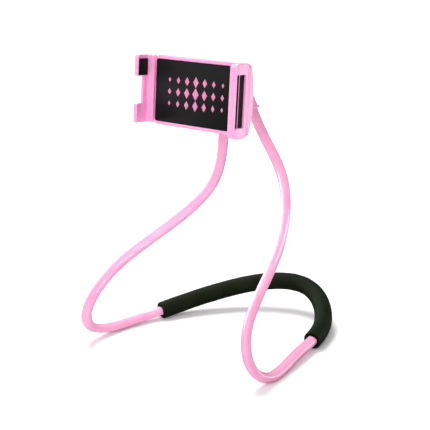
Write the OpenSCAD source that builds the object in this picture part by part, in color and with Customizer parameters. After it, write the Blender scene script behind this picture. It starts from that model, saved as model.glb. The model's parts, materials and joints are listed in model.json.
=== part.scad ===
// Adjustable phone stand: a bendable neck loop with a foam collar carries a
// sprung phone clamp on a ball joint. Millimetres, +Z up, the table at z = 0.
// The origin is at the middle of the footprint, on the table.

/* [Neck loop] */
// Half width of the loop that lies round the neck
loop_half_w = 70; // [62:1:78]
// Depth of the loop, from its front bends to the back of the collar
loop_depth = 140; // [128:1:152]
// Height of the ball joint above the base of the loop
head_h = 170.4; // [160:0.1:182]
// Distance of the ball joint behind the front bends
head_back = 54.6; // [50:0.1:60]
// Sideways offset of the ball joint, to the right
head_side = -1.3; // [-4:0.1:4]

/* [Tube] */
// Wide size of the oval tube
tube_w = 7; // [6.4:0.1:7.6]
// Narrow size of the oval tube
tube_n = 5.9; // [5.4:0.1:6.4]
// Bore of the tube
tube_bore = 4; // [3.7:0.1:4.4]
// Diameter of the bendable core wire
wire_d = 3.4; // [2.8:0.1:3.5]

/* [Foam sleeve] */
// Outer diameter of the foam sleeve
foam_d = 12.4; // [11:0.1:15]
// Bore of the foam sleeve
foam_bore = 8.2; // [7.9:0.1:9]
// Where the foam starts, as a share of the route from the right arm
foam_from_share = 0.423; // [0.4:0.001:0.45]
// Where the foam ends, as a share of the route from the right arm
foam_to_share = 0.602; // [0.57:0.001:0.63]

/* [Hub] */
// Lean of the hub towards the clamp, in degrees
hub_pitch = 6; // [2:1:10]
// Roll of the hub towards the right arm, in degrees
hub_roll = 10; // [0:1:12]
// Half of the distance between the ends of the arms
socket_spread = 10.4; // [9.8:0.1:12]
// Distance of the sockets behind the ball
socket_back = 13.3; // [12.8:0.1:16]
// Drop of the arms' ends below the ball
socket_drop = 7.8; // [7:0.1:9]
// Splay of each socket, in degrees
socket_splay = 15; // [10:1:20]
// Straight lead of the route below each socket
socket_lead = 28.6; // [25:0.1:32]
// How far an arm goes into its socket
socket_grip = 7.1; // [5:0.1:8]
// Wall of a socket
socket_wall = 0.7; // [0.6:0.1:1.2]
// Height of the rim round a socket's mouth
rim_h = 1.6; // [1:0.1:2.5]
// How far the rim stands proud of the socket
rim_out = 0.8; // [0.3:0.1:0.9]
// Thickness of the web behind the joint of the hub's halves
web_t = 3.3; // [2.8:0.1:4]

/* [Ball joint] */
// Diameter of the ball
ball_d = 12; // [11.4:0.1:12.4]
// Thickness of the ball's liner
liner_t = 0.75; // [0.6:0.05:0.9]
// Diameter of the neck of the stud
neck_d = 4.6; // [4:0.1:5]
// Wall of the cup that holds the liner
cup_wall = 1.4; // [1.2:0.1:1.8]
// Wall of the lock nut
nut_wall = 1.6; // [1.3:0.1:1.9]
// Number of grip hollows round the lock nut
nut_grips = 12; // [8:1:16]
// Diameter of the swivel flange on the stud
flange_d = 18; // [16:0.5:19]
// Thickness of the swivel flange
flange_t = 1.7; // [1.4:0.1:2]
// Distance from the ball's centre to the face of the clamp
face_dist = 19.6; // [19.2:0.1:22]

/* [Clamp body] */
// Backward lean of the clamp, in degrees
clamp_lean = 5; // [2:0.1:8]
// Turn of the clamp to the right, in degrees
clamp_yaw = 2.3; // [-4:0.1:4]
// Turn of the clamp on its swivel, in degrees
clamp_roll = -0.7; // [-3:0.1:3]
// Width of the clamp body with its fixed jaw
body_w = 72.4; // [66:0.1:78]
// Height of the clamp body
body_h = 44; // [39:0.5:48]
// Distance of the swivel from the middle of the body, to the right
swivel_side = 1.3; // [0:0.1:2]
// Corner radius of the clamp body
body_r = 2.5; // [1.5:0.1:3]
// Thickness of the front plate
plate_t = 2.6; // [2.4:0.1:3]
// Border of the front plate above and below the face panel
border_h = 2.3; // [1.8:0.1:3]
// Border of the front plate at the sliding jaw's end
border_side = 0.7; // [0.5:0.1:1.5]
// Thickness of the face panel
panel_t = 0.8; // [0.6:0.1:1]
// Corner radius of the face panel
panel_r = 1.2; // [0.6:0.1:2]
// Depth of the back cover's crown behind the face
cover_apex = 7.2; // [7:0.1:7.6]
// Depth of the back cover's top and bottom edges behind the face
cover_edge = 3.7; // [3.5:0.1:3.9]
// Wall of the back cover's crown
cover_wall = 1.2; // [1:0.1:1.3]
// Wall round the back cover's rim
cover_rim = 1.4; // [1.2:0.1:1.8]
// Height of the swivel seat above the crown
seat_h = 1; // [0.8:0.1:1.2]

/* [Jaws] */
// How far the jaws stand out from the face
jaw_reach = 10.6; // [10:0.1:13]
// Thickness of the lip at the front of a jaw
lip_t = 1.2; // [1:0.1:1.6]
// Wall of the fixed jaw
fixed_wall = 2.4; // [2:0.1:2.8]
// How far the fixed jaw's lip turns in over the phone
fixed_lip = 3.1; // [2.6:0.1:3.6]
// Thickness of the fixed jaw's foot, let into the front plate
foot_t = 1.1; // [0.9:0.1:1.4]
// How far the fixed jaw reaches past the body, above and below
fixed_over = 0.5; // [0:0.1:1]
// Corner radius at the front of the fixed jaw
fixed_r = 2.4; // [1.5:0.1:4.5]
// Corner radius of the fixed jaw's lip, seen from the front
lip_r = 2.5; // [1:0.1:2.6]
// Radius of the fixed jaw's outer front edge
fixed_edge = 1.8; // [1:0.1:2]
// Height of the window in the fixed jaw
window_h = 31.5; // [28:0.5:34]
// Width of the window in the fixed jaw
window_w = 7.9; // [5.5:0.1:8.2]
// Width of the rib that divides the window
rib_w = 0.7; // [0.5:0.1:1]
// Wall of the sliding jaw
slide_wall = 2.2; // [1.8:0.1:2.6]
// How far the sliding jaw's lips turn in over the phone
slide_lip = 0.9; // [0.8:0.1:1.6]
// Width of the sliding jaw's base beside the body
base_w = 5.1; // [4.5:0.1:7]
// Gap between the closed sliding jaw and the body
slide_gap = 1.3; // [0.6:0.1:2]
// How far the sliding jaw stays short of the body, above and below
slide_under = 0.4; // [0:0.1:1]
// Height of the upper hook of the sliding jaw
top_hook_h = 13.4; // [11:0.1:15]
// Height of the lower hook of the sliding jaw
low_hook_h = 12.4; // [11:0.1:15]
// How far the wall between the hooks stands out from the face
mid_reach = 3.9; // [2:0.1:5]
// Corner radius at the front of the hooks
hook_r = 1.4; // [0.8:0.1:2]
// Thickness of the rubber pads
pad_t = 0.7; // [0.5:0.1:0.8]

/* [Slide] */
// Travel of the sliding jaw
travel = 28; // [26:0.5:29]
// Length of the slide tongues that stays in the body at full travel
tongue_hold = 16; // [15.5:0.5:17]
// Width of a slide tongue, as a share of the body's height
tongue_w_share = 0.16; // [0.12:0.01:0.16]
// Thickness of a slide tongue
tongue_t = 1.6; // [1.4:0.1:1.7]
// Distance of each tongue's middle from the body's middle, as a share of its height
tongue_z_share = 0.21; // [0.2:0.01:0.22]
// Running clearance of the slide tongues
slide_clear = 0.2; // [0.15:0.01:0.3]
// Diameter of the jaw springs
spring_d = 2; // [1.6:0.1:2.1]
// Wire of the jaw springs
spring_wire = 0.4; // [0.3:0.05:0.5]

/* [Screws] */
// Shank diameter of the small screws
screw_d = 1.8; // [1.6:0.1:2]
// Head diameter of the small screws
screw_head_d = 3.6; // [3.2:0.1:4]
// Head height of the small screws
screw_head_h = 0.8; // [0.6:0.1:0.9]
// Shank diameter of the swivel screw
swivel_d = 3; // [2.6:0.1:3.2]
// Head diameter of the swivel screw
swivel_head_d = 8.4; // [7.5:0.1:9]
// Thickness of the swivel washer
washer_t = 0.8; // [0.6:0.1:0.9]

/* [Hidden] */
$fn = 64;

pink = "#fbb2d6";
deep_pink = "#f49ccb";
black = "#221f22";
foam_green = "#2b3224";
steel = "#b9bcc0";

// Overrun of every cut past the face that it opens
cut = 1;
// Clearance of a shaft that turns in a bore
turn_fit = 0.05;
// Clearance of the liner in its cup, and of a thread
cup_fit = 0.1;
// Clearance of a part laid in a recess
seat_fit = 0.1;
// Radial clearance of a tube in its socket
tube_fit = 0.2;

// Places of the route's inner points, from the right arm round to the left:
// shares of the loop's half width, the loop's depth and the ball's height
route_shares = [
    [0.605, 0.5, 0.695],
    [0.8, 0.345, 0.47],
    [0.735, 0.105, 0.265],
    [0.835, 0.055, 0.085],
    [0.925, 0.19, 0],
    [0.8, 0.455, 0.04],
    [0.71, 0.8, 0.03],
    [0.225, 1.02, 0.145],
    [-0.415, 0.87, 0.115],
    [-0.915, 0.435, 0.025],
    [-1.015, 0.02, 0.01],
    [-0.93, -0.095, 0.145],
    [-0.79, 0.04, 0.325],
    [-0.49, 0.305, 0.465],
    [-0.225, 0.495, 0.61]
];

// Rings in each span of the route, and sides of each ring
span_rings = 7;
tube_sides = 12;
wire_sides = 8;
foam_rings = 44;
foam_sides = 18;

function unit(v) = v / norm(v);
function rot_x(v, a) = [v.x, v.y * cos(a) - v.z * sin(a), v.y * sin(a) + v.z * cos(a)];
function rot_y(v, a) = [v.x * cos(a) + v.z * sin(a), v.y, v.z * cos(a) - v.x * sin(a)];
function hub_dir(v) = rot_x(rot_y(v, -hub_roll), hub_pitch);

// The ball's centre, and the end and direction of each arm in its socket
ball_at = [head_side, head_back, head_h];
function arm_end(side) = ball_at + hub_dir([side * socket_spread, socket_back, -socket_drop]);
function arm_dir(side) = hub_dir([side * sin(socket_splay), 0, -cos(socket_splay)]);
function arm_lead(side) = arm_end(side) + socket_lead * arm_dir(side);

// Control points of the route: each end is held three times, so it starts straight
controls = concat(
    [arm_end(1), arm_end(1), arm_end(1), arm_lead(1)],
    [for (s = route_shares) [s.x * loop_half_w, s.y * loop_depth, s.z * head_h]],
    [arm_lead(-1), arm_end(-1), arm_end(-1), arm_end(-1)]);
spans = len(controls) - 3;

// A point of the route's cubic curve, t running from 0 to the number of spans
function route(t) =
    let (i = min(floor(t), spans - 1), u = t - i, w = 1 - u)
    (pow(w, 3) * controls[i]
        + (3 * pow(u, 3) - 6 * pow(u, 2) + 4) * controls[i + 1]
        + (3 * pow(w, 3) - 6 * pow(w, 2) + 4) * controls[i + 2]
        + pow(u, 3) * controls[i + 3]) / 6;

function along(places) = [for (i = [0:len(places) - 1])
    unit(places[min(i + 1, len(places) - 1)] - places[max(i - 1, 0)])];

// Carries the tube's wide direction along without a twist
function carry(w, t) = unit(w - (w * t) * t);

centres = [for (i = [0:spans * span_rings]) route(i / span_rings)];
tangents = along(centres);
last = len(centres) - 1;
middle = floor(last / 2);
back_wide = unit(cross([0, 0, 1], tangents[middle]));
wide_on = [for (i = middle, w = back_wide; i <= last; i = i + 1, w = carry(w, tangents[min(i, last)])) w];
wide_off = [for (i = middle, w = back_wide; i >= 0; i = i - 1, w = carry(w, tangents[max(i, 0)])) w];
wides = concat([for (i = [middle:-1:1]) wide_off[i]], wide_on);

foam_places = [for (i = [0:foam_rings])
    route(spans * (foam_from_share + (foam_to_share - foam_from_share) * i / foam_rings))];
foam_tangents = along(foam_places);
foam_wides = [for (t = foam_tangents) unit(cross([0, 0, 1], t))];

// One ring of points round a centre, half_w along wide and half_n across it
function ring(centre, wide, tangent, half_w, half_n, sides) =
    let (narrow = cross(tangent, wide))
    [for (k = [0:sides - 1]) centre + half_w * cos(360 * k / sides) * wide
        + half_n * sin(360 * k / sides) * narrow];
function rings(places, wides, tangents, half_w, half_n, sides) =
    [for (i = [0:len(places) - 1]) ring(places[i], wides[i], tangents[i], half_w, half_n, sides)];
function flat(lists) = [for (l = lists) for (p = l) p];

tube_outer = rings(centres, wides, tangents, tube_w / 2, tube_n / 2, tube_sides);
tube_inner = rings(centres, wides, tangents, tube_bore / 2, tube_bore / 2, tube_sides);
foam_outer = rings(foam_places, foam_wides, foam_tangents, foam_d / 2, foam_d / 2, foam_sides);
foam_inner = rings(foam_places, foam_wides, foam_tangents, foam_bore / 2, foam_bore / 2, foam_sides);

// Moves the whole stand so that its footprint is centred on the origin, at z = 0
skin = concat(flat(tube_outer), flat(foam_outer));
low_corner = [min([for (p = skin) p.x]), min([for (p = skin) p.y]), min([for (p = skin) p.z])];
high_corner = [max([for (p = skin) p.x]), max([for (p = skin) p.y])];
shift = [-(low_corner.x + high_corner.x) / 2, -(low_corner.y + high_corner.y) / 2, -low_corner.z];

// Hub and ball joint
tube_hole_r = tube_w / 2 + tube_fit;
socket_r = tube_hole_r + socket_wall;
ferrule_wall = 0.9;
ferrule_bore_r = wire_d / 2 + turn_fit;
ferrule_r = ferrule_bore_r + ferrule_wall;
ferrule_l = 6.2;
ferrule_collar_out = 0.7;
ferrule_collar_h = 1.4;
ferrule_collar_up = 3;
ferrule_gap = 0.2;
wire_in = 4.8;
socket_top = ferrule_l + ferrule_gap + seat_fit + 1.2 * socket_wall;
web_half_w = socket_spread - 1.3 * socket_wall;
web_drop = socket_drop + 0.7 * socket_grip;
hub_screw_tip = 9.6;
hub_screws_share = [0.32, 0.84];
liner_r = ball_d / 2 + turn_fit + liner_t;
cup_in_r = liner_r + cup_fit;
cup_out_r = cup_in_r + cup_wall;
cup_front = 1.5;
nut_in_r = cup_out_r + cup_fit;
nut_out_r = nut_in_r + nut_wall;
nut_back = 3.2;
nut_lip_angle = 56;
nut_front = cup_in_r * cos(nut_lip_angle) + 0.5 * liner_t + 0.35 * cup_wall;
nut_hole_r = cup_in_r * sin(nut_lip_angle);
nut_grip_r = 1.1;
nut_grip_in = 0.6;
nut_edge = 0.7;
liner_front = 3.2;

// Clamp: x to the right, y backwards from the face, z up
right_x = body_w / 2 - swivel_side;
left_x = -body_w / 2 - swivel_side;
half_h = body_h / 2;
crown_rise = cover_apex - cover_edge;
crown_r = (pow(half_h, 2) + pow(crown_rise, 2)) / (2 * crown_rise);
seat_back = cover_apex + seat_h;
swivel_flange_y = seat_back + seat_fit;
washer_r = swivel_head_d / 2 + 0.8;
washer_back = cover_apex - cover_wall - turn_fit;
spigot_r = swivel_d;
swivel_head_t = 1.4;
seat_r = flange_d / 2 + 1.5;
foot_w = fixed_wall + fixed_lip;
foot_x = right_x - foot_w;
panel_left = left_x + border_side;
panel_right = foot_x - seat_fit;
panel_half_h = half_h - border_h;
jaw_x = left_x - slide_gap;
jaw_out_x = jaw_x - base_w - slide_wall;
jaw_in_x = jaw_out_x + slide_wall;
tongue_w = tongue_w_share * body_h;
tongue_z = tongue_z_share * body_h;
tongue_y = plate_t + slide_clear;
tongue_end = jaw_x + travel + tongue_hold;
spring_pin_r = 0.8;
pin_front = foot_t + seat_fit;
spring_pin_x = right_x - fixed_wall - 0.8 * cover_rim;
spring_r = spring_d / 2;
screw_r = screw_d / 2;
screw_head_r = screw_head_d / 2;
cover_screw_x = body_w / 2 - cover_rim - 2.2 * screw_head_r;
cover_screw_z = half_h - cover_rim - 1.6 * screw_head_r;
post_r = screw_head_r + 0.9;
jaw_screw_x = foot_x + 0.75 * screw_head_r;
jaw_screw_z = 0.35 * tongue_z;
window_front = -jaw_reach + 0.9 * lip_t;
rib_y = window_front + 0.26 * window_w;
plug_t = 0.5 * fixed_wall;
rib_sunk = 0.2 * fixed_wall;
fixed_half_h = half_h + fixed_over;
slide_half_h = half_h - slide_under;
pad_edge = 1.2;
mid_r = 0.8;
base_r = 1.8;
lip_edge = 0.5 * lip_t;

function crown_y(z) = cover_apex - crown_r + sqrt(pow(crown_r, 2) - pow(z, 2));

module placed() {
    translate(shift) children();
}

// The hub's frame, with the ball's centre as its origin
module at_hub() {
    placed() translate(ball_at) rotate([hub_pitch, 0, 0]) rotate([0, -hub_roll, 0]) children();
}

// The frame of one socket, with the arm's end as its origin and the arm along -z
module at_socket(side) {
    translate([side * socket_spread, socket_back, -socket_drop])
        rotate([0, -side * socket_splay, 0]) children();
}

// The clamp's frame, with the middle of its face as its origin
module at_clamp() {
    placed() translate(ball_at) rotate([-clamp_lean, 0, 0]) rotate([0, 0, clamp_yaw])
        rotate([0, clamp_roll, 0]) translate([0, -face_dist, 0]) children();
}

// A tube or a rod between two lists of rings, or a solid one with no inner rings
module sweep(outer, inner) {
    n = len(outer);
    s = len(outer[0]);
    hollow = len(inner) > 0;
    off = n * s;
    sides = [for (i = [0:n - 2]) for (k = [0:s - 1]) let (a = i * s + k, b = i * s + (k + 1) % s)
        each [[a, a + s, b + s], [a, b + s, b]]];
    bore = [for (i = [0:n - 2]) for (k = [0:s - 1])
        let (a = off + i * s + k, b = off + i * s + (k + 1) % s)
        each [[a, b + s, a + s], [a, b, b + s]]];
    start = [for (k = [0:s - 1]) let (a = k, b = (k + 1) % s) each [[a, b, off + b], [a, off + b, off + a]]];
    end = [for (k = [0:s - 1]) let (a = (n - 1) * s + k, b = (n - 1) * s + (k + 1) % s)
        each [[a, off + b, b], [a, off + a, off + b]]];
    caps = [[for (k = [0:s - 1]) k], [for (k = [s - 1:-1:0]) (n - 1) * s + k]];
    polyhedron(
        points = hollow ? concat(flat(outer), flat(inner)) : flat(outer),
        faces = hollow ? concat(sides, bore, start, end) : concat(sides, caps));
}

// A cylinder along y, from the depth a to the depth b
module rod_y(r, a, b) {
    translate([0, a, 0]) rotate([-90, 0, 0]) cylinder(r = r, h = b - a);
}

// A rectangle with true round corners
module round_rect(w, h, r) {
    square([w - 2 * r, h], center = true);
    square([w, h - 2 * r], center = true);
    for (x = [-1, 1]) for (y = [-1, 1])
        translate([x * (w / 2 - r), y * (h / 2 - r)]) circle(r);
}

// A slab in the x-z plane, from the depth a to the depth b
module slab_y(x0, x1, z0, z1, r, a, b) {
    translate([(x0 + x1) / 2, b, (z0 + z1) / 2]) rotate([90, 0, 0])
        linear_extrude(b - a) round_rect(x1 - x0, z1 - z0, r);
}

module box(x0, x1, y0, y1, z0, z1) {
    translate([x0, y0, z0]) cube([x1 - x0, y1 - y0, z1 - z0]);
}

// A long cylinder along x whose back follows the crown, drawn in by a wall
module crown(wall) {
    translate([-body_w, cover_apex - crown_r, 0]) rotate([0, 90, 0])
        cylinder(r = crown_r - wall, h = 2 * body_w, $fn = 180);
}

// A jaw's side outline, y to the left and z up, with round front corners
module side_outline(reach, back, z0, z1, r) {
    translate([-reach + r, z0]) square([reach + back - r, z1 - z0]);
    translate([-reach, z0 + r]) square([r, z1 - z0 - 2 * r]);
    for (z = [z0 + r, z1 - r]) translate([-reach + r, z]) circle(r);
}

// Extrudes a side outline along x
module slab_x(x0, x1) {
    translate([x0, 0, 0]) rotate([90, 0, 90]) linear_extrude(x1 - x0) children();
}

module neck_tube() {
    color(pink) placed() sweep(tube_outer, tube_inner);
}

// The core wire reaches past each end of the tube into its ferrule
module core_wire() {
    places = concat([centres[0] - wire_in * arm_dir(1)], centres, [centres[last] - wire_in * arm_dir(-1)]);
    ways = concat([tangents[0]], tangents, [tangents[last]]);
    across = concat([wides[0]], wides, [wides[last]]);
    color(steel) placed() sweep(rings(places, across, ways, wire_d / 2, wire_d / 2, wire_sides), []);
}

module foam_sleeve() {
    color(foam_green) placed() sweep(foam_outer, foam_inner);
}

module end_ferrule(side) {
    color(steel) at_hub() at_socket(side) difference() {
        union() {
            translate([0, 0, ferrule_gap]) cylinder(r = ferrule_r, h = ferrule_l);
            translate([0, 0, ferrule_collar_up])
                cylinder(r = ferrule_r + ferrule_collar_out, h = ferrule_collar_h);
        }
        translate([0, 0, -cut]) cylinder(r = ferrule_bore_r, h = cut + wire_in + seat_fit);
    }
}

module end_ferrule_right() {
    end_ferrule(1);
}

module end_ferrule_left() {
    end_ferrule(-1);
}

// One socket with its rim, before its bore is cut
module socket_body() {
    translate([0, 0, -socket_grip]) cylinder(r = socket_r, h = socket_grip + socket_top);
    translate([0, 0, -socket_grip]) cylinder(r = socket_r + rim_out, h = rim_h);
}

// The bore for the arm, and the chamber for its ferrule
module socket_bore() {
    translate([0, 0, -socket_grip - cut]) cylinder(r = tube_hole_r, h = socket_grip + cut);
    translate([0, 0, -seat_fit]) cylinder(r = ferrule_r + seat_fit, h = ferrule_l + ferrule_gap + 2 * seat_fit);
    translate([0, 0, ferrule_collar_up - seat_fit])
        cylinder(r = ferrule_r + ferrule_collar_out + seat_fit, h = ferrule_collar_h + 2 * seat_fit);
}

module hub_screw_places() {
    for (s = hub_screws_share) translate([0, 0, -s * web_drop]) children();
}

module hub_front() {
    color(pink) at_hub() difference() {
        union() {
            rod_y(cup_out_r, -cup_front, socket_back);
            box(-web_half_w, web_half_w, socket_back - socket_r, socket_back, -web_drop, 0);
            for (side = [-1, 1]) at_socket(side) socket_body();
        }
        sphere(cup_in_r);
        rod_y(cup_in_r, -cup_front - cut, 0);
        for (side = [-1, 1]) at_socket(side) socket_bore();
        hub_screw_places() rod_y(screw_r + turn_fit, hub_screw_tip - seat_fit, socket_back + cut);
        box(-body_w, body_w, socket_back, 2 * socket_back, -body_w, body_w);
    }
}

module hub_rear() {
    color(pink) at_hub() difference() {
        union() {
            box(-web_half_w, web_half_w, socket_back, socket_back + web_t, -web_drop, 0);
            for (side = [-1, 1]) at_socket(side) socket_body();
        }
        for (side = [-1, 1]) at_socket(side) socket_bore();
        hub_screw_places() rod_y(screw_r + seat_fit, socket_back - cut, socket_back + web_t + cut);
        hub_screw_places() rod_y(screw_head_r + seat_fit, socket_back + web_t - screw_head_h, socket_back + web_t + cut);
        box(-body_w, body_w, 0, socket_back, -body_w, body_w);
    }
}

// A screw along y whose head's outer face lies at the depth back, tip towards -y
module screw_y(tip, back) {
    difference() {
        union() {
            rod_y(screw_r, tip, back - screw_head_h / 2);
            rod_y(screw_head_r, back - screw_head_h, back);
        }
        for (a = [0, 90]) rotate([0, a, 0])
            box(-screw_head_r / 2, screw_head_r / 2, back - screw_head_h / 2, back + cut, -screw_r / 4, screw_r / 4);
    }
}

module hub_screws() {
    color(steel) at_hub() hub_screw_places() screw_y(hub_screw_tip, socket_back + web_t);
}

module lock_nut() {
    color(pink) at_hub() difference() {
        union() {
            rod_y(nut_out_r, -nut_front + nut_edge, nut_back);
            rod_y(nut_out_r - nut_edge, -nut_front, 0);
        }
        rod_y(nut_in_r, -cup_front - seat_fit, nut_back + cut);
        sphere(cup_in_r);
        rod_y(nut_hole_r, -nut_front - cut, 0);
        for (i = [0:nut_grips - 1]) rotate([0, i * 360 / nut_grips, 0])
            translate([nut_out_r + nut_grip_r - nut_grip_in, 0, 0]) rod_y(nut_grip_r, -nut_front - cut, nut_back + cut);
    }
}

// The liner and the stud are drawn from the ball's centre, in the clamp's attitude
module ball_liner() {
    color(black) at_clamp() translate([0, face_dist, 0]) rotate([-90, 0, 0]) rotate_extrude() difference() {
        circle(liner_r);
        circle(ball_d / 2 + turn_fit);
        translate([-ball_d, -ball_d]) square([ball_d, 2 * ball_d]);
        translate([0, -ball_d]) square([ball_d, ball_d - liner_front]);
    }
}

module ball_stud() {
    color(steel) at_clamp() difference() {
        union() {
            translate([0, face_dist, 0]) sphere(ball_d / 2);
            rod_y(neck_d / 2, swivel_flange_y, face_dist);
            rod_y(flange_d / 2, swivel_flange_y, swivel_flange_y + flange_t);
            rod_y(spigot_r, washer_back, swivel_flange_y + flange_t / 2);
        }
        rod_y(swivel_d / 2 + turn_fit, 0, face_dist - ball_d / 2);
    }
}

module swivel_screw() {
    head_back = washer_back - washer_t;
    color(steel) at_clamp() difference() {
        union() {
            rod_y(swivel_head_d / 2, head_back - swivel_head_t, head_back);
            rod_y(swivel_d / 2, head_back - swivel_head_t / 2, face_dist - ball_d / 2 - seat_fit);
        }
        for (a = [0, 90]) rotate([0, a, 0])
            box(-swivel_d, swivel_d, 0, head_back - swivel_head_t / 2, -swivel_d / 8, swivel_d / 8);
    }
}

module swivel_washer() {
    color(steel) at_clamp() difference() {
        rod_y(washer_r, washer_back - washer_t, washer_back);
        rod_y(swivel_d / 2 + turn_fit, 0, cover_apex);
    }
}

module cover_screw_places() {
    for (x = [-1, 1]) for (z = [-1, 1])
        translate([x * cover_screw_x - swivel_side, 0, z * cover_screw_z]) children();
}

module jaw_screw_places() {
    for (z = [-1, 1]) translate([jaw_screw_x, 0, z * jaw_screw_z]) children();
}

module spring_pin_places() {
    for (z = [-1, 1]) translate([spring_pin_x, 0, z * tongue_z]) children();
}

module front_plate() {
    color(pink) at_clamp() difference() {
        slab_y(left_x, right_x, -half_h, half_h, body_r, 0, plate_t);
        slab_y(panel_left - seat_fit, foot_x, -panel_half_h - seat_fit, panel_half_h + seat_fit, panel_r, -cut, panel_t);
        box(foot_x - panel_r, right_x + cut, -cut, panel_t, -panel_half_h - seat_fit, panel_half_h + seat_fit);
        box(foot_x, right_x + cut, -cut, foot_t, -half_h - cut, half_h + cut);
        cover_screw_places() rod_y(screw_r + turn_fit, pin_front, plate_t + cut);
        jaw_screw_places() rod_y(screw_r + seat_fit, 0, plate_t + cut);
        spring_pin_places() rod_y(spring_pin_r + turn_fit, pin_front, plate_t + cut);
    }
}

module face_panel() {
    color(black) at_clamp()
        slab_y(panel_left, panel_right, -panel_half_h, panel_half_h, panel_r, 0, panel_t);
}

module back_cover() {
    tongue_cut = slide_clear + tongue_w / 2;
    color(pink) at_clamp() difference() {
        union() {
            difference() {
                intersection() {
                    slab_y(left_x, right_x, -half_h, half_h, body_r, plate_t, cover_apex + cut);
                    crown(0);
                }
                intersection() {
                    slab_y(left_x + cover_rim, right_x - cover_rim, -half_h + cover_rim, half_h - cover_rim,
                        body_r / 2, plate_t - cut, cover_apex + cut);
                    crown(cover_wall);
                }
            }
            rod_y(seat_r, washer_back, seat_back);
            intersection() {
                cover_screw_places() rod_y(post_r, plate_t, cover_apex);
                crown(0);
            }
        }
        rod_y(spigot_r + turn_fit, plate_t, seat_back + cut);
        rod_y(washer_r + seat_fit, plate_t - cut, washer_back + turn_fit);
        cover_screw_places() rod_y(screw_r + seat_fit, plate_t - cut, cover_apex);
        cover_screw_places() rod_y(screw_head_r + seat_fit, crown_y(cover_screw_z) - screw_head_h - seat_fit, cover_apex);
        for (z = [-tongue_z, tongue_z])
            box(left_x - cut, left_x + cover_rim + cut, plate_t - cut, tongue_y + tongue_t + slide_clear,
                z - tongue_cut, z + tongue_cut);
    }
}

module cover_screws() {
    color(steel) at_clamp() cover_screw_places() screw_y(pin_front + seat_fit, crown_y(cover_screw_z) - seat_fit);
}

// The fixed jaw seen from above: square at its foot, round at its front edges
module jaw_section() {
    translate([foot_x, -jaw_reach + fixed_edge]) square([foot_w, jaw_reach + foot_t - fixed_edge]);
    translate([foot_x, -jaw_reach + lip_edge]) square([foot_w - fixed_edge, fixed_edge - lip_edge]);
    translate([foot_x + lip_edge, -jaw_reach]) square([foot_w - fixed_edge - lip_edge, lip_edge]);
    translate([foot_x + lip_edge, -jaw_reach + lip_edge]) circle(lip_edge);
    translate([right_x - fixed_edge, -jaw_reach + fixed_edge]) circle(fixed_edge);
}

module fixed_jaw() {
    color(deep_pink) at_clamp() difference() {
        union() {
            difference() {
                intersection() {
                    slab_x(foot_x, right_x) side_outline(jaw_reach, foot_t, -fixed_half_h, fixed_half_h, fixed_r);
                    translate([0, 0, -fixed_half_h]) linear_extrude(2 * fixed_half_h) jaw_section();
                    union() {
                        slab_y(foot_x, right_x + lip_r, -fixed_half_h, fixed_half_h, lip_r, -jaw_reach, 0);
                        box(foot_x, right_x, 0, foot_t, -fixed_half_h, fixed_half_h);
                    }
                }
                box(foot_x - cut, right_x - fixed_wall, -jaw_reach + lip_t, 0, -body_h, body_h);
                box(right_x - fixed_wall - cut, right_x + cut, window_front, window_front + window_w,
                    -window_h / 2, window_h / 2);
            }
            box(right_x - fixed_wall + plug_t + seat_fit, right_x - rib_sunk, rib_y, rib_y + rib_w,
                -window_h / 2, window_h / 2);
        }
        jaw_screw_places() rod_y(screw_r + turn_fit, seat_fit, foot_t + cut);
    }
}

module fixed_jaw_pad() {
    in_x = right_x - fixed_wall;
    color(black) at_clamp() union() {
        box(in_x - pad_t, in_x, -jaw_reach + lip_t + seat_fit, -seat_fit, -half_h + pad_edge, half_h - pad_edge);
        box(in_x - pad_t, in_x + plug_t, window_front + seat_fit, window_front + window_w - seat_fit,
            -window_h / 2 + seat_fit, window_h / 2 - seat_fit);
    }
}

module jaw_screws() {
    color(steel) at_clamp() jaw_screw_places() screw_y(2 * seat_fit, plate_t + screw_head_h);
}

module spring_pins() {
    color(steel) at_clamp() spring_pin_places() rod_y(spring_pin_r, pin_front + seat_fit, tongue_y + 0.9 * spring_d);
}

// The springs lie in line with the tongues, between each tongue's end and its pin
module jaw_springs() {
    color(steel) at_clamp() for (z = [-tongue_z, tongue_z])
        translate([tongue_end + seat_fit, plate_t + seat_fit + spring_r, z]) rotate([0, 90, 0]) difference() {
            cylinder(r = spring_r, h = spring_pin_x - spring_pin_r - tongue_end - 2 * seat_fit);
            translate([0, 0, -cut]) cylinder(r = spring_r - spring_wire, h = body_w);
        }
}

// The two hooks and the low wall between them, as a side outline
module hooks_outline(reach) {
    side_outline(reach, 0, slide_half_h - top_hook_h, slide_half_h, hook_r);
    side_outline(reach, 0, -slide_half_h, -slide_half_h + low_hook_h, hook_r);
}

module sliding_jaw() {
    color(pink) at_clamp() union() {
        intersection() {
            slab_y(jaw_out_x, jaw_x, -slide_half_h, slide_half_h, base_r, 0, cover_apex + cut);
            crown(0);
        }
        slab_x(jaw_out_x, jaw_in_x) hooks_outline(jaw_reach);
        slab_x(jaw_out_x, jaw_in_x) side_outline(mid_reach, 0, -slide_half_h, slide_half_h, mid_r);
        intersection() {
            slab_x(jaw_out_x, jaw_in_x + slide_lip) hooks_outline(jaw_reach);
            box(jaw_out_x, jaw_x, -jaw_reach, -jaw_reach + lip_t, -half_h, half_h);
        }
        for (z = [-tongue_z, tongue_z])
            box(jaw_out_x + slide_wall, tongue_end, tongue_y, tongue_y + tongue_t, z - tongue_w / 2, z + tongue_w / 2);
    }
}

module sliding_jaw_pad() {
    color(black) at_clamp() box(jaw_in_x, jaw_in_x + pad_t, -jaw_reach + lip_t, -0.75 * pad_edge,
        slide_half_h - top_hook_h + 0.4 * pad_edge, slide_half_h - 2 * pad_edge);
}

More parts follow.
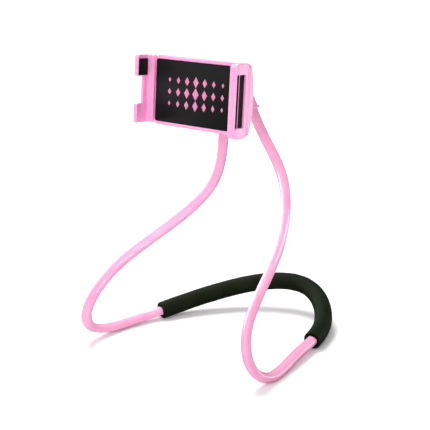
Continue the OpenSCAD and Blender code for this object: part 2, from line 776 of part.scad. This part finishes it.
neck_tube();
core_wire();
foam_sleeve();
end_ferrule_right();
end_ferrule_left();
hub_front();
hub_rear();
hub_screws();
lock_nut();
ball_liner();
ball_stud();
swivel_screw();
swivel_washer();
front_plate();
face_panel();
back_cover();
cover_screws();
fixed_jaw();
fixed_jaw_pad();
jaw_screws();
spring_pins();
jaw_springs();
sliding_jaw();
sliding_jaw_pad();
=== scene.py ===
# %% [markdown]
# # A bendable phone stand
# A loop of bendable tube stands on the table, with a foam sleeve on the part that can also
# lie round a neck. Its two ends meet in a hub, and a ball joint on the hub carries a sprung
# clamp for a phone. The solids were drawn first, as a frame with joints. This notebook keeps
# their places and gives every part its rounded edges, its soft shapes and its finish.

# %% Load the frame
import bpy
import bmesh
import json
from math import copysign, cos, exp, floor, pi, radians, sin
from mathutils import Matrix, Quaternion, Vector, noise


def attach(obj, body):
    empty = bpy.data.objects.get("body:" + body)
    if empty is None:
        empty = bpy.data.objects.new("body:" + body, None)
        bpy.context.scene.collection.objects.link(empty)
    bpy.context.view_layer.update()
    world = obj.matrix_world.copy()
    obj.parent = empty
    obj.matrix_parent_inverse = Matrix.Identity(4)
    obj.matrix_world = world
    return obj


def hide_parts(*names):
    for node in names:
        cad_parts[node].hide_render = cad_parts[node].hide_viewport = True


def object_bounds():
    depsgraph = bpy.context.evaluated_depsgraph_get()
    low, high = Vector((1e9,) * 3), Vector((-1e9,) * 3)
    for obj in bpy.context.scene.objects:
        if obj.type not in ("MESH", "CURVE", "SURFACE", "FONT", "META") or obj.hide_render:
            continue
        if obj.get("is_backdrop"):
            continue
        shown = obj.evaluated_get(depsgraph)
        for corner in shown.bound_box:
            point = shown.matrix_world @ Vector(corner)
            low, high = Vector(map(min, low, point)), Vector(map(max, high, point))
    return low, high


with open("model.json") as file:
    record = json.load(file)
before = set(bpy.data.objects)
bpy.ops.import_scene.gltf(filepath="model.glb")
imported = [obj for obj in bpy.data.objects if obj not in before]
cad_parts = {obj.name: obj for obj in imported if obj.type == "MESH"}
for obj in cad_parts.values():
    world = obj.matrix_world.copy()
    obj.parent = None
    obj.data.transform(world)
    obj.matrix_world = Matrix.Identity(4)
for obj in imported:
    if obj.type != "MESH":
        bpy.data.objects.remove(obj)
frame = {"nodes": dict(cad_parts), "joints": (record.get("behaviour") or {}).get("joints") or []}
cad_low, cad_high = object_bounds()
cad_box = [list(cad_low), list(cad_high)]

# %% [markdown]
# ## Units and places
# The drawing is in millimetres and Blender works in metres, so each new piece is drawn in
# millimetres, in the frame of the part that it belongs to, and one matrix brings it to its
# place. Everything hangs on one point, the middle of the ball joint, which is read from the
# frame's joints. The hub leans towards the clamp and to one side. The clamp leans back a
# little, and its frame has its origin in the middle of the clamp's face, with x to the
# right, y backwards and z up.

# %% Turns, in degrees
HUB_PITCH, HUB_ROLL = 6, 10
CLAMP_LEAN, CLAMP_YAW, CLAMP_ROLL = 5, 2.3, -0.7


def turned(degrees, axis):
    return Matrix.Rotation(radians(degrees), 4, axis)


HUB_TURN = turned(HUB_PITCH, "X") @ turned(-HUB_ROLL, "Y")
CLAMP_TURN = turned(-CLAMP_LEAN, "X") @ turned(CLAMP_YAW, "Z") @ turned(CLAMP_ROLL, "Y")

# %% The three frames: the whole row, the hub and the clamp
MM = Matrix.Scale(0.001, 4)
FACE_AHEAD = 19.6  # from the ball's middle to the clamp's face
ball_joint = next(joint for joint in frame["joints"] if joint["name"] == "head_pan")
BALL = 1000 * Vector(ball_joint["pos_m"])
IN_ROW = MM
IN_HUB = MM @ Matrix.Translation(BALL) @ HUB_TURN
IN_CLAMP = MM @ Matrix.Translation(BALL) @ CLAMP_TURN @ Matrix.Translation((0, -FACE_AHEAD, 0))
print("clamp face at", [round(v, 4) for v in IN_CLAMP.translation])

# %% [markdown]
# ## The camera and the light
# The stand is seen from its right, a little from above, with a long lens. A product like
# this is shot in a bright tent: light comes softly from everywhere, with one large lamp
# high up on the left, which draws the faint shadows to the lower right, and a wide one in
# front that fills. Glossy plastic needs something darker to mirror too, or it looks like
# chalk, so for gloss alone the tent is dim and the floor is dark.
#
# Seven more lamps light gloss alone, and each draws one line or band. Two strips near the
# camera, one high and one low, draw fine lines along the tube. A strip on the right and one
# at the left flank do the same for the sides that turn away. Cards on the left, on the floor
# at the left and low behind on the right whiten the edges that look their way.
#
# The floor is white. Only the camera sees it a little brighter than it is lit, and more so
# far away, so that it melts into the background while the shadows stay.

# %% The camera, in metres and degrees
CAMERA_PLACE = Vector((0.41325, -0.49800, 0.28572))
CAMERA_AZIMUTH, CAMERA_ELEVATION = radians(40.4395), radians(17.0313)
SENSOR_MM, LENS_MM = 36, 85.445

scene = bpy.context.scene
scene.view_settings.view_transform = "Standard"
camera_data = bpy.data.cameras.new("camera")
camera_data.sensor_width = SENSOR_MM
camera_data.lens = LENS_MM
camera = bpy.data.objects.new("camera", camera_data)
view_line = Vector((-sin(CAMERA_AZIMUTH) * cos(CAMERA_ELEVATION),
                    cos(CAMERA_AZIMUTH) * cos(CAMERA_ELEVATION), -sin(CAMERA_ELEVATION)))
camera.location = CAMERA_PLACE
camera.rotation_mode = "QUATERNION"
camera.rotation_quaternion = view_line.to_track_quat("-Z", "Y")
scene.collection.objects.link(camera)
scene.camera = camera


# %% A small function that adds one node
def add(tree, kind, settings=None, values=None, links=None):
    made = tree.nodes.new(kind)
    for key, value in (settings or {}).items():
        setattr(made, key, value)
    for key, value in (values or {}).items():
        made.inputs[key].default_value = value
    for key, socket in (links or {}).items():
        tree.links.new(socket, made.inputs[key])
    return made


# %% Two shaders, the second taking over as a factor rises to one
def mixed(tree, factor, first, second):
    links = {0: factor, 1: first.outputs[0], 2: second.outputs[0]}
    return add(tree, "ShaderNodeMixShader", links=links)


# %% Colours are written as sRGB hex and turned to linear here
def colour(hex_text):
    parts = [int(hex_text[i:i + 2], 16) / 255 for i in (1, 3, 5)]
    return [c / 12.92 if c <= 0.04045 else ((c + 0.055) / 1.055) ** 2.4 for c in parts] + [1.0]


# %% A lamp is a lit rectangle, aimed at a point and turned about its own line, in metres
def lamp(name, place, target, size, watts, diffuse=True, gloss=True, turn=0):
    data = bpy.data.lights.new(name, "AREA")
    data.shape = "RECTANGLE"
    data.size, data.size_y = size
    data.energy = watts
    made = bpy.data.objects.new(name, data)
    made.location = place
    made.rotation_mode = "QUATERNION"
    aim = (Vector(target) - Vector(place)).to_track_quat("-Z", "Y")
    made.rotation_quaternion = aim @ Quaternion((0, 0, 1), radians(turn))
    made.visible_camera = False
    made.visible_diffuse = diffuse
    made.visible_glossy = gloss
    scene.collection.objects.link(made)


# %% The two lamps that light the stand
lamp("key", (-0.38, 0.1, 1.0), target=(0, 0, 0.05), size=(0.5, 0.5), watts=10.5)
lamp("fill", (0.3, -1.1, 0.75), target=(0, 0, 0.08), size=(0.9, 0.9), watts=7.9, gloss=False)


# %% The seven that only gloss sees
def gleam(name, place, target, size, watts, turn=0):
    lamp(name, place, target, size, watts, diffuse=False, turn=turn)


gleam("high_strip", (0.3, -0.8, 0.8), target=(0, 0, 0.08), size=(0.05, 0.4), watts=1.0)
gleam("low_strip", (0.65, -0.82, 0.275), target=(0, 0, 0.08), size=(0.03, 0.58), watts=4.2, turn=-30)
gleam("right_strip", (0.9, 0.1, 0.5), target=(0, 0, 0.05), size=(0.6, 0.08), watts=3.0)
gleam("left_card", (-0.5, 0, 0.17), target=(0, 0, 0.1), size=(0.7, 0.34), watts=3.6)
gleam("flank_strip", (-0.34, -0.54, 0.5), target=(0.05, -0.02, 0.08), size=(0.07, 0.42), watts=1.5)
gleam("floor_card", (-0.62, -0.15, 0.004), target=(-0.56, -0.15, 1), size=(0.4, 0.5), watts=5.0)
gleam("back_card", (0.31, 0.37, 0.03), target=(0, 0, 0.16), size=(0.36, 0.3), watts=1.3)

# %% The tent: bright for the plastic, dim for its gloss, white for the camera
TENT, TENT_IN_GLOSS, TENT_SEEN = 0.52, 0.2, 1.0
world = bpy.data.worlds.new("tent")
scene.world = world
world.use_nodes = True
sky = world.node_tree
sky.nodes.clear()
ray = add(sky, "ShaderNodeLightPath")
soft, dim, white = [
    add(sky, "ShaderNodeBackground", values={"Color": (1, 1, 1, 1), "Strength": strength})
    for strength in (TENT, TENT_IN_GLOSS, TENT_SEEN)]
looks_through = add(sky, "ShaderNodeMath", {"operation": "MAXIMUM"},
                    links={0: ray.outputs["Is Camera Ray"], 1: ray.outputs["Is Transmission Ray"]})
lit = mixed(sky, ray.outputs["Is Glossy Ray"], soft, dim)
sky_mix = mixed(sky, looks_through.outputs[0], lit, white)
add(sky, "ShaderNodeOutputWorld", links={"Surface": sky_mix.outputs[0]})

# %% The floor's paper: white to light, dark to gloss, and lifted for the camera
FLOOR_HALF = 6
PAPER_WHITE, PAPER_IN_GLOSS = 0.93, 0.12
LIFT_NEAR, LIFT_FAR = 0.08, 0.9
LIFT_STARTS, LIFT_ENDS = 0.12, 0.8

paper_material = bpy.data.materials.new("white_paper_sweep")
paper_material.use_nodes = True
paper = paper_material.node_tree
paper.nodes.clear()
ray = add(paper, "ShaderNodeLightPath")
spot = add(paper, "ShaderNodeTexCoord")
far = add(paper, "ShaderNodeVectorMath", {"operation": "LENGTH"}, links={0: spot.outputs["Object"]})
lift = add(paper, "ShaderNodeMapRange",
           values={"From Min": LIFT_STARTS, "From Max": LIFT_ENDS, "To Min": LIFT_NEAR, "To Max": LIFT_FAR},
           links={"Value": far.outputs["Value"]})
white, dark = [
    add(paper, "ShaderNodeBsdfDiffuse", values={"Color": (grey, grey, grey, 1)})
    for grey in (PAPER_WHITE, PAPER_IN_GLOSS)]
glow = add(paper, "ShaderNodeEmission", values={"Color": (1, 1, 1, 1)}, links={"Strength": lift.outputs[0]})
lifted = add(paper, "ShaderNodeAddShader", links={0: white.outputs[0], 1: glow.outputs[0]})
by_gloss = mixed(paper, ray.outputs["Is Glossy Ray"], white, dark)
paper_mix = mixed(paper, ray.outputs["Is Camera Ray"], by_gloss, lifted)
add(paper, "ShaderNodeOutputMaterial", links={"Surface": paper_mix.outputs[0]})

# %% The floor
form = bmesh.new()
bmesh.ops.create_grid(form, x_segments=1, y_segments=1, size=FLOOR_HALF)
floor_mesh = bpy.data.meshes.new("floor")
form.to_mesh(floor_mesh)
form.free()
floor_mesh.materials.append(paper_material)
floor_object = bpy.data.objects.new("floor", floor_mesh)
scene.collection.objects.link(floor_object)
floor_object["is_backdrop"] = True

# %% [markdown]
# ## The finishes
# Seven finishes cover the stand. The clamp and hub are moulded ABS with a gloss. The tube is
# extruded PVC, satin under a thin, sharp skin. The sleeve is closed-cell foam, the panel and
# pads are matt rubber with a screen-printed block, the ball's liner is acetal, and the wire,
# stud and screws are zinc-plated steel. Plastic is never one flat colour: pigment drifts a
# little over centimetres, and most surfaces carry a fine waviness or grain. Both come from
# noise, at sizes given in millimetres.


# %% A material with its main shader and that shader's plain values
def finish(name, values):
    made = bpy.data.materials.new(name)
    made.use_nodes = True
    tree = made.node_tree
    tree.nodes.clear()
    shader = add(tree, "ShaderNodeBsdfPrincipled", values=values)
    add(tree, "ShaderNodeOutputMaterial", links={"Surface": shader.outputs[0]})
    return made, tree, shader


# %% Noise of a given size in millimetres, read from the piece's own place
def grain(tree, size_mm, detail=3.0):
    place = add(tree, "ShaderNodeTexCoord")
    return add(tree, "ShaderNodeTexNoise",
               values={"Scale": 1000 / size_mm, "Detail": detail, "Roughness": 0.55},
               links={"Vector": place.outputs["Object"]})


# %% Colour that drifts between two tones, as the noise goes from low to high
def drift(tree, shader, source, tone_a, tone_b, low=0.35, high=0.65):
    spread = add(tree, "ShaderNodeMapRange", values={"From Min": low, "From Max": high},
                 links={"Value": source.outputs[0]})
    mix = add(tree, "ShaderNodeMix", {"data_type": "RGBA"}, links={"Factor": spread.outputs[0]})
    tones = {"A": tone_a, "B": tone_b}
    for socket in mix.inputs:
        if socket.type == "RGBA" and socket.name in tones:
            socket.default_value = colour(tones[socket.name])
    result = next(socket for socket in mix.outputs if socket.type == "RGBA")
    tree.links.new(result, shader.inputs["Base Color"])


# %% Relief of a given height in millimetres
def relief(tree, shader, source, height_mm, strength):
    bump = add(tree, "ShaderNodeBump", values={"Strength": strength, "Distance": height_mm / 1000},
               links={"Height": source.outputs[0]})
    tree.links.new(bump.outputs[0], shader.inputs["Normal"])


# %% Wear: roughness that wanders between two values
def wear(tree, shader, source, smooth, rough):
    spread = add(tree, "ShaderNodeMapRange", values={"To Min": smooth, "To Max": rough},
                 links={"Value": source.outputs[0]})
    tree.links.new(spread.outputs[0], shader.inputs["Roughness"])


# %% Moulded ABS, gloss: a clear reflection over an even, slightly milky pink
def moulded_abs():
    made, tree, shader = finish("abs_moulded_pink_gloss", {
        "IOR": 1.54, "Subsurface Weight": 0.12, "Subsurface Radius": (1.0, 0.5, 0.6),
        "Subsurface Scale": 0.0012})
    drift(tree, shader, grain(tree, 22), "#fba8d6", "#f8a2d2", low=0.25, high=0.75)
    relief(tree, shader, grain(tree, 5, detail=1.0), height_mm=0.02, strength=0.5)
    wear(tree, shader, grain(tree, 9, detail=4.0), smooth=0.2, rough=0.33)
    return made


# %% Extruded PVC: a satin pink under a thin skin that mirrors sharply
def extruded_pvc():
    made, tree, shader = finish("pvc_extruded_pink_satin", {
        "Roughness": 0.42, "IOR": 1.53, "Specular IOR Level": 0.1,
        "Coat Weight": 1.0, "Coat Roughness": 0.035, "Coat IOR": 1.6,
        "Subsurface Weight": 0.15, "Subsurface Radius": (1.0, 0.55, 0.6), "Subsurface Scale": 0.0015})
    drift(tree, shader, grain(tree, 30), "#fbb1d5", "#f5a2c9")
    relief(tree, shader, grain(tree, 2.2, detail=1.0), height_mm=0.01, strength=0.4)
    return made


# %% Closed-cell foam: almost black green, its skin dull with fine cells
CELL_MM = 0.7


def cell_foam():
    made, tree, shader = finish("nbr_foam_black_green", {
        "Roughness": 0.6, "IOR": 1.5, "Specular IOR Level": 0.06,
        "Sheen Weight": 0.01, "Sheen Roughness": 0.4, "Sheen Tint": colour("#c9d2bb")})
    drift(tree, shader, grain(tree, 14, detail=4.0), "#171f0e", "#0f160a", low=0.3, high=0.7)
    place = add(tree, "ShaderNodeTexCoord")
    cells = add(tree, "ShaderNodeTexVoronoi", values={"Scale": 1000 / CELL_MM},
                links={"Vector": place.outputs["Object"]})
    relief(tree, shader, cells, height_mm=0.10, strength=0.5)
    return made


# %% Moulded rubber: matt black with a fine spark-eroded grain
def matt_rubber():
    made, tree, shader = finish("rubber_moulded_black_matt", {
        "Roughness": 0.62, "IOR": 1.52, "Specular IOR Level": 0.12})
    drift(tree, shader, grain(tree, 8, detail=4.0), "#100e10", "#0c0c0d")
    relief(tree, shader, grain(tree, 0.5, detail=2.0), height_mm=0.03, strength=0.6)
    return made


# %% Screen-printed ink: matt, a little darker than the mouldings
def printed_ink():
    made, tree, shader = finish("ink_screen_printed_pink", {"Roughness": 0.55})
    drift(tree, shader, grain(tree, 0.9), "#e283b4", "#d674a6")
    relief(tree, shader, grain(tree, 0.5, detail=2.0), height_mm=0.02, strength=0.5)
    return made


# %% Zinc-plated steel: a cool grey, its shine slightly uneven
def plated_steel():
    made, tree, shader = finish("steel_zinc_plated", {"Metallic": 1.0})
    drift(tree, shader, grain(tree, 3, detail=4.0), "#bfc2c6", "#a9adb3")
    wear(tree, shader, grain(tree, 1.2, detail=4.0), smooth=0.18, rough=0.42)
    return made


# %% Acetal: the ball's slippery black liner
def black_acetal():
    made, tree, shader = finish("acetal_moulded_black", {"Roughness": 0.35})
    drift(tree, shader, grain(tree, 6), "#18181a", "#111113")
    return made


# %% The seven finishes
PINK = moulded_abs()
TUBE = extruded_pvc()
FOAM = cell_foam()
RUBBER = matt_rubber()
INK = printed_ink()
STEEL = plated_steel()
ACETAL = black_acetal()
print("finishes:", [m.name for m in (PINK, TUBE, FOAM, RUBBER, INK, STEEL, ACETAL)])

# %% [markdown]
# ## Small tools for making pieces
# A piece starts as a bmesh in millimetres. The next function turns it into an object: it is
# put in its place, its faces are shaded smooth apart from real creases, it gets its finish,
# and it is tied to the body that it moves with.

# %% From a bmesh to a piece of the stand
CREASE = radians(32)


def piece(form, name, place, body, material, stands_for=()):
    bmesh.ops.recalc_face_normals(form, faces=form.faces[:])
    form.transform(place)
    mesh = bpy.data.meshes.new(name)
    form.to_mesh(mesh)
    form.free()
    mesh.materials.append(material)
    mesh.shade_smooth()
    mesh.set_sharp_from_angle(angle=CREASE)
    made = bpy.data.objects.new(name, mesh)
    scene.collection.objects.link(made)
    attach(made, body)
    if stands_for:
        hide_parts(*stands_for)
    print(name, len(mesh.polygons), "faces")
    return made


# %% [markdown]
# ## The bendable tube
# The tube is one long oval extrusion that was bent by hand. Its path is a smooth curve
# through the air that follows a few control points, and the oval keeps its wide side where
# the bending leaves it. A ring of points is set across the path every couple of millimetres,
# and neighbouring rings are bridged, which is how a sweep is made when the section must not
# twist. The two ends lie in the hub's sockets, which splay a little.

# %% The loop's size, and the way from where it is drawn to the middle of the table, in millimetres
LOOP = Vector((70, 140, 170.4))  # half its width, its depth, the ball's height
SHIFT = Vector((3.37127, -65.0996, 0.00277389))

# %% The hub's sockets
SOCKET_SPREAD, SOCKET_BACK, SOCKET_DROP = 10.4, 13.3, 7.8
ARM_LEAD = 28.6
ARM_SPLAY = radians(15)


def arm_end(side):
    return BALL - SHIFT + HUB_TURN @ Vector((side * SOCKET_SPREAD, SOCKET_BACK, -SOCKET_DROP))


def arm_lead(side):
    return arm_end(side) + ARM_LEAD * (HUB_TURN @ Vector((side * sin(ARM_SPLAY), 0, -cos(ARM_SPLAY))))


# %% The control points, as shares of the loop's half width, its depth and its height
SHARES = [(0.605, 0.5, 0.695), (0.8, 0.345, 0.47), (0.735, 0.105, 0.265), (0.835, 0.055, 0.085),
          (0.925, 0.19, 0), (0.8, 0.455, 0.04), (0.71, 0.8, 0.03), (0.225, 1.02, 0.145),
          (-0.415, 0.87, 0.115), (-0.915, 0.435, 0.025), (-1.015, 0.02, 0.01), (-0.93, -0.095, 0.145),
          (-0.79, 0.04, 0.325), (-0.49, 0.305, 0.465), (-0.225, 0.495, 0.61)]
CONTROLS = [arm_end(1)] * 3 + [arm_lead(1)]
CONTROLS += [Vector((x * LOOP.x, y * LOOP.y, z * LOOP.z)) for x, y, z in SHARES]
CONTROLS += [arm_lead(-1)] + [arm_end(-1)] * 3
SPANS = len(CONTROLS) - 3


# %% A point of the path: a cubic B-spline, one span for every four neighbours
def route(t):
    i = min(floor(t), SPANS - 1)
    u = t - i
    w = 1 - u
    a, b, c, d = CONTROLS[i:i + 4]
    weights = (w ** 3, 3 * u ** 3 - 6 * u ** 2 + 4, 3 * w ** 3 - 6 * w ** 2 + 4, u ** 3)
    return (weights[0] * a + weights[1] * b + weights[2] * c + weights[3] * d) / 6 + SHIFT


# %% Stations along the path, and the direction of the path at each
def stations(start, end, count):
    points = [route(start + (end - start) * i / count) for i in range(count + 1)]
    ways = [(points[min(i + 1, count)] - points[max(i - 1, 0)]).normalized() for i in range(count + 1)]
    return points, ways


# %% The wide direction, level at the middle of the path and carried along from there
def carried(ways):
    middle = len(ways) // 2
    wides = [None] * len(ways)
    wides[middle] = Vector((0, 0, 1)).cross(ways[middle]).normalized()
    for i in range(middle + 1, len(ways)):
        wides[i] = (wides[i - 1] - wides[i - 1].dot(ways[i]) * ways[i]).normalized()
    for i in range(middle - 1, -1, -1):
        wides[i] = (wides[i + 1] - wides[i + 1].dot(ways[i]) * ways[i]).normalized()
    return wides


# %% One ring across the path, and the bridges between rings
def ring(form, point, way, wide, half_w, half_n, sides, flatness=1.0):
    made = bmesh.ops.create_circle(form, cap_ends=False, segments=sides, radius=1)["verts"]
    for corner in made:
        x, y = corner.co.x, corner.co.y
        corner.co.x = copysign(abs(x) ** flatness, x) * half_w
        corner.co.y = copysign(abs(y) ** flatness, y) * half_n
    turn = Matrix((wide, way.cross(wide).normalized(), way)).transposed().to_4x4()
    bmesh.ops.transform(form, matrix=Matrix.Translation(point) @ turn, verts=made)
    return list({edge for corner in made for edge in corner.link_edges})


def bridge(form, loops, closed=False):
    pairs = list(zip(loops, loops[1:]))
    if closed:
        pairs.append((loops[-1], loops[0]))
    for first, second in pairs:
        bmesh.ops.bridge_loops(form, edges=first + second)


# %% [markdown]
# The extrusion is not a true oval: its four sides are a little flattened, and light runs
# along them in bands. A power below one on the circle's two coordinates does that. Where
# the loop reaches furthest out, the tube is drawn a little thinner, so that these fuller
# sides stay inside the drawn box.

# %% The tube's section, in millimetres
TUBE_WIDE, TUBE_NARROW, FLATNESS = 3.5, 2.95, 0.75
TUBE_SIDES, TUBE_STEPS = 32, 420


# %% How much of its full size a section may have inside the sides of the drawn box
def share_of_size(point, way, wide):
    low, high = [[1000 * v for v in corner] for corner in cad_box]
    narrow = way.cross(wide)
    power = 2 / (2 - FLATNESS)
    shares = [1]
    for axis in (0, 1):
        across, along = TUBE_WIDE * abs(wide[axis]), TUBE_NARROW * abs(narrow[axis])
        reach = (across ** power + along ** power) ** (1 / power)
        shares.append(min(point[axis] - low[axis], high[axis] - point[axis]) / reach)
    return min(shares)


# %% The tube itself
tube_points, tube_ways = stations(0, SPANS, TUBE_STEPS)
form = bmesh.new()
tube_rings = []
for point, way, wide in zip(tube_points, tube_ways, carried(tube_ways)):
    share = share_of_size(point, way, wide)
    half_w, half_n = TUBE_WIDE * share, TUBE_NARROW * share
    tube_rings.append(ring(form, point, way, wide, half_w, half_n, TUBE_SIDES, FLATNESS))
bridge(form, tube_rings)
bmesh.ops.holes_fill(form, edges=tube_rings[0] + tube_rings[-1], sides=TUBE_SIDES)
piece(form, "bent_tube", IN_ROW, "neck", TUBE, ["neck_tube"])
print("tube length, mm:", round(sum((b - a).length for a, b in zip(tube_points, tube_points[1:]))))

# %% [markdown]
# ## The foam sleeve
# The sleeve is a length of thick-walled foam pushed over the tube. It is cut square, the cut
# edges are soft, and its bore is wider than the tube. Foam is never quite even, so its skin
# gets slow swells of a tenth of a millimetre or two. The wall is made as rings again: outside,
# round the cut edge, and back through the bore. Near the right end the foam was once folded,
# which left a faint crease round it.
#
# One thing to know before this is used again: two rings in one plane leave bridge_loops to
# guess which way they face. Here it crosses the faces between the first two flat rings of
# each cut, and a small step along the path between them would settle it.

# %% The sleeve's sizes in millimetres, and its place as shares of the tube's path
SLEEVE_STARTS, SLEEVE_ENDS = 0.423, 0.602
SLEEVE_R, BORE_R = 6.2, 4.2
CUT_RADII = (4.9, 4.5)
EDGE, EDGE_STEPS = 0.9, 4
BORE_EDGE = 0.2
SLEEVE_SIDES, SLEEVE_STEPS, BORE_STEP = 48, 150, 3
SKIN_FROM_CUT = 3
CREASE_STEP, CREASE_STEPS, CREASE_DEPTH = 11, 1.3, 0.3

# %% The sleeve's wall
foam_points, foam_ways = stations(SPANS * SLEEVE_STARTS, SPANS * SLEEVE_ENDS, SLEEVE_STEPS)
foam_wides = carried(foam_ways)
form = bmesh.new()
loops = []


def sleeve_ring(i, along, radius):
    place = foam_points[i] + along * foam_ways[i]
    loops.append(ring(form, place, foam_ways[i], foam_wides[i], radius, radius, SLEEVE_SIDES))


def soft_edge(i, inwards, steps):
    for step in steps:
        a = pi / 2 * step / EDGE_STEPS
        sleeve_ring(i, inwards * EDGE * (1 - sin(a)), SLEEVE_R - EDGE + EDGE * cos(a))


soft_edge(0, 1, range(EDGE_STEPS + 1))
for radius in CUT_RADII:
    sleeve_ring(0, 0, radius)
sleeve_ring(0, BORE_EDGE, BORE_R)
for i in range(BORE_STEP, SLEEVE_STEPS, BORE_STEP):
    sleeve_ring(i, 0, BORE_R)
sleeve_ring(SLEEVE_STEPS, -BORE_EDGE, BORE_R)
for radius in reversed(CUT_RADII):
    sleeve_ring(SLEEVE_STEPS, 0, radius)
soft_edge(SLEEVE_STEPS, -1, range(EDGE_STEPS, -1, -1))
for i in range(SLEEVE_STEPS - SKIN_FROM_CUT, SKIN_FROM_CUT - 1, -1):
    sleeve_ring(i, 0, SLEEVE_R - CREASE_DEPTH * exp(-((i - CREASE_STEP) / CREASE_STEPS) ** 2))
bridge(form, loops, closed=True)

# %% The swells of its skin, which is drawn in a little to make room for them
SLOW_SWELL, SLOW_MM = 0.10, 9
FAST_SWELL, FAST_MM = 0.05, 3.5
DRAWN_IN = 0.08
SKIN_BEYOND = 5  # points further out than this belong to the skin
for corner in form.verts:
    swell = SLOW_SWELL * noise.noise(corner.co / SLOW_MM) + FAST_SWELL * noise.noise(corner.co / FAST_MM)
    middle = min(foam_points[::2], key=lambda point: (point - corner.co).length_squared)
    outward = corner.co - middle
    if outward.length > SKIN_BEYOND:
        corner.co += outward.normalized() * (swell - DRAWN_IN)
sleeve = piece(form, "foam_collar", IN_ROW, "neck", FOAM, ["foam_sleeve"])

# %% [markdown]
# ## The mouldings of the clamp and the hub
# The solids have sharp edges, and a moulding never has. A copy of the solid is merged, its
# flat faces are joined up, and its real edges get a small round that catches the light.

# %% A merged copy of a solid, brought into a frame in millimetres
MERGE_MM = 0.001
FLAT_WITHIN = radians(1.5)
REAL_EDGE = radians(40)


def copied(node, place):
    form = bmesh.new()
    form.from_mesh(frame["nodes"][node].data)
    form.transform(place.inverted())
    bmesh.ops.remove_doubles(form, verts=form.verts[:], dist=MERGE_MM)
    return form


# %% A solid's copy with rounded edges
def softened(node, name, body, material, width, segments=3):
    form = copied(node, IN_ROW)
    bmesh.ops.dissolve_limit(form, angle_limit=FLAT_WITHIN, verts=form.verts[:], edges=form.edges[:])
    edges = [e for e in form.edges if len(e.link_faces) == 2 and e.calc_face_angle() > REAL_EDGE]
    bmesh.ops.bevel(form, geom=edges, offset=width, offset_type="OFFSET", affect="EDGES",
                    segments=segments, profile=0.5, material=-1, clamp_overlap=False)
    piece(form, name, IN_ROW, body, material, [node])


# %% [markdown]
# The two jaws and the nut have round corners that run into one another, where a plain bevel
# folds over itself. Their copies are turned into the frame of the clamp or the hub, rebuilt
# as an even mesh of quarter-millimetre squares, and smoothed a few times. That rounds every
# edge alike, and flat faces stay flat because they lie along the squares.

# %% A solid's copy rebuilt as an even mesh with soft edges
SQUARE_MM = 0.25
PASSES = 4


def rebuilt(node, name, body, material, place):
    form = copied(node, place)
    rough = bpy.data.meshes.new(name + "_rough")
    form.to_mesh(rough)
    form.free()
    carrier = bpy.data.objects.new(name + "_rough", rough)
    scene.collection.objects.link(carrier)
    even = carrier.modifiers.new("even", "REMESH")
    even.mode = "VOXEL"
    even.voxel_size = SQUARE_MM
    even.adaptivity = 0
    solved = carrier.evaluated_get(bpy.context.evaluated_depsgraph_get())
    form = bmesh.new()
    form.from_mesh(solved.to_mesh())
    solved.to_mesh_clear()
    bpy.data.objects.remove(carrier)
    bpy.data.meshes.remove(rough)
    for _ in range(PASSES):
        bmesh.ops.smooth_vert(form, verts=form.verts[:], factor=0.5,
                              use_axis_x=True, use_axis_y=True, use_axis_z=True)
    piece(form, name, place, body, material, [node])


# %% The mouldings and the rubber, each with the width of its rounded edges in millimetres
softened("front_plate", "front_shell", "clamp", PINK, 0.35)
softened("back_cover", "rear_shell", "clamp", PINK, 0.3)
rebuilt("fixed_jaw", "right_jaw", "clamp", PINK, IN_CLAMP)
rebuilt("sliding_jaw", "left_jaw", "sliding_jaw", PINK, IN_CLAMP)
softened("face_panel", "rubber_face", "clamp", RUBBER, 0.2, segments=2)
softened("fixed_jaw_pad", "right_jaw_pad", "clamp", RUBBER, 0.12, segments=2)
softened("sliding_jaw_pad", "left_jaw_pad", "sliding_jaw", RUBBER, 0.2, segments=2)
softened("hub_front", "hub_cup", "neck", PINK, 0.25)
softened("hub_rear", "hub_cap", "neck", PINK, 0.25)
rebuilt("lock_nut", "grip_nut", "lock_nut", PINK, IN_HUB)

# %% [markdown]
# ## The print on the face
# The rubber face carries a small block of lozenges, screen-printed in pink. Ink lies on top
# of the rubber, a few hundredths of a millimetre thick, so each lozenge is a thin four-sided
# prism. They shrink towards the sides of the block.

# %% The lozenges, in millimetres
COLUMNS_ASIDE, ROWS_ASIDE = 3, 1
COLUMN_PITCH, ROW_PITCH = 7.0, 7.4
BLOCK_MIDDLE = -4.2
LOZENGE_R, LESS_PER_COLUMN, LESS_PER_ROW = 3.1, 0.5, 0.4
SLIM, TALL = 0.8, 1.25
INK_DEPTH, INK_MIDDLE = 0.06, -0.02

form = bmesh.new()
for column in range(-COLUMNS_ASIDE, COLUMNS_ASIDE + 1):
    for row in range(-ROWS_ASIDE, ROWS_ASIDE + 1):
        size = LOZENGE_R - LESS_PER_COLUMN * abs(column) - LESS_PER_ROW * abs(row)
        spot = Vector((column * COLUMN_PITCH + BLOCK_MIDDLE, INK_MIDDLE, row * ROW_PITCH))
        place = Matrix.Translation(spot) @ turned(90, "X") @ Matrix.Diagonal((SLIM, TALL, 1, 1))
        bmesh.ops.create_cone(form, cap_ends=True, segments=4, radius1=size, radius2=size,
                              depth=INK_DEPTH, matrix=place)
piece(form, "printed_lozenges", IN_CLAMP, "clamp", INK)

# %% [markdown]
# ## The metal and the liner
# The wire, ferrules, screws, pins, springs, stud and washer are plain metal parts, and the
# liner is a plain moulding. Their solids are already right, so they keep their meshes and
# get their finish.

# %% Finishes for the solids that stay
METAL = ["core_wire", "end_ferrule_right", "end_ferrule_left", "hub_screws", "ball_stud", "swivel_screw",
         "swivel_washer", "cover_screws", "jaw_screws", "spring_pins", "jaw_springs"]
STAYS = dict.fromkeys(METAL, STEEL) | {"ball_liner": ACETAL}
for node, material in STAYS.items():
    for place in frame["nodes"][node].material_slots:
        place.material = material
print("solids kept:", len(STAYS))

low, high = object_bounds()
for name, box in (("cad", cad_box), ("visual", (low, high))):
    print(name, [[round(v, 4) for v in corner] for corner in box])
